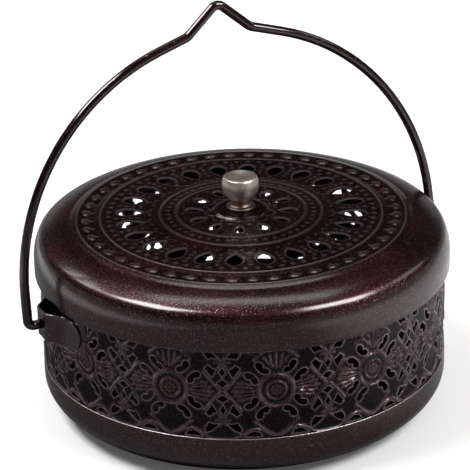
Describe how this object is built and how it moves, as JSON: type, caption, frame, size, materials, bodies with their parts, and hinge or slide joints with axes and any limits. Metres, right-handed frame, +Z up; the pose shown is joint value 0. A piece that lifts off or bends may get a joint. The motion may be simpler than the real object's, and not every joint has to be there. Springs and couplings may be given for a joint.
{
  "type": "mosquito coil holder",
  "caption": "Round covered mosquito coil holder of pressed and pierced sheet steel, with a vented lid, a knob and a swinging wire handle.",
  "frame": {"origin": "on the vertical axis, in the plane that the pan's flat bottom rests on", "axes": "+Z up through the knob; +X along the handle's pivot axis, towards the lug with the band's seam behind it; the handle leans back towards +Y at rest"},
  "size_m": [0.1721, 0.155, 0.153],
  "materials": {
    "dark_paint": "dark maroon-brown metallic stoving paint, satin, with fine flecks",
    "antique_bronze": "antiqued bronze, satin",
    "zinc_steel": "bright zinc plate"
  },
  "bodies": {
    "base": {"base_pan": "dark_paint", "pierced_band": "dark_paint", "lug_left": "dark_paint", "lug_right": "dark_paint", "coil_stand": "zinc_steel"},
    "lid": {"lid_shell": "dark_paint", "knob": "antique_bronze", "knob_washer": "zinc_steel", "knob_screw": "zinc_steel"},
    "bail": {"bail": "dark_paint"}
  },
  "joints": [
    {"name": "bail_swing", "type": "hinge", "parent": "base", "child": "bail", "pos_m": [0, 0, 0.046], "axis": [1, 0, 0], "range_deg": [-108, 120]},
    {"name": "lid_lift", "type": "slide", "parent": "base", "child": "lid", "axis": [0, 0, 1], "range_m": [0, 0.011]}
  ]
}
